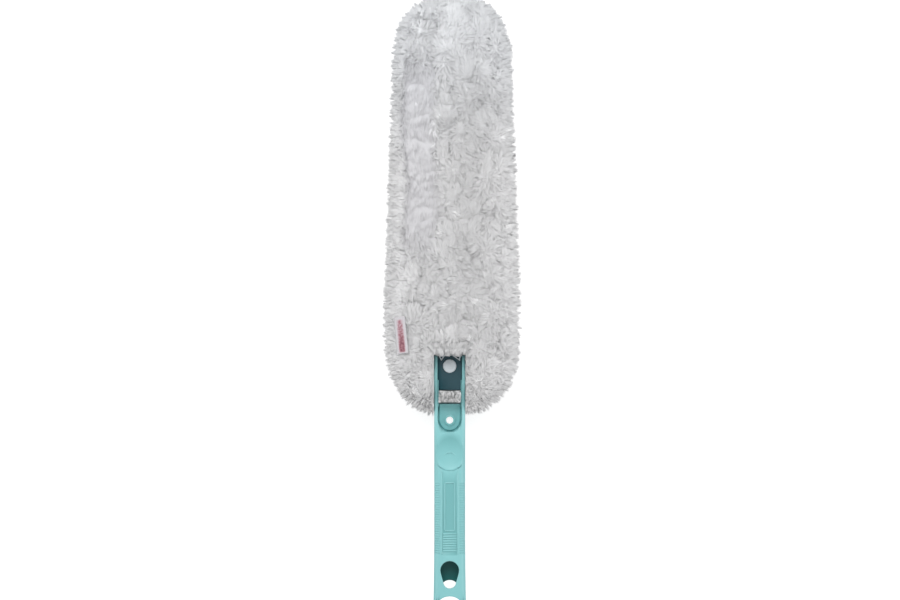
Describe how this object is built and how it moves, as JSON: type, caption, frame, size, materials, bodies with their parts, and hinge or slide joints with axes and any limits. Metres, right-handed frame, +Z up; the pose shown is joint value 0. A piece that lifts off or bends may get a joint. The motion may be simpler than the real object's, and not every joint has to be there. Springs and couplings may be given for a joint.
{
  "type": "hand duster",
  "caption": "Hand duster: ribbed plastic handle with a pole socket and hook hole, and a long plush head on a block that tilts forward in the handle's fork.",
  "frame": {"origin": "centre of the bounding box's base: the duster lies on its back, with the flat underside of its plush on the surface", "axes": "+Y along the handle towards the tip of the head, +Z up through the side with the button, +X across"},
  "size_m": [0.1376, 0.616, 0.0562],
  "materials": {
    "turquoise": "fine grained moulded plastic",
    "petrol": "satin moulded plastic",
    "white": "smooth moulded plastic",
    "plush": "soft clumped pile",
    "cloth": "knitted backing and tape",
    "steel": "spring wire"
  },
  "bodies": {
    "handle": {"handle": "turquoise", "pivot_pin_left": "turquoise", "pivot_pin_right": "turquoise"},
    "head": {"swivel_block": "petrol", "head_frame": "white", "button_spring": "steel", "plush_front": "plush", "plush_back": "plush", "backing_front": "cloth", "backing_back": "cloth", "side_seam": "cloth", "mouth_binding": "cloth", "sleeve_tag": "cloth"},
    "button": {"release_button": "white"}
  },
  "joints": [
    {"name": "head_tilt", "type": "hinge", "parent": "handle", "child": "head", "pos_m": [0, -0.058, 0.02615], "axis": [1, 0, 0], "range_deg": [0, 90]},
    {"name": "button_press", "type": "slide", "parent": "head", "child": "button", "axis": [0, 0, -1], "range_m": [0, 0.0034], "stiffness_N_per_m": 600, "springref_m": -0.0015, "deforming": ["button_spring"]}
  ]
}
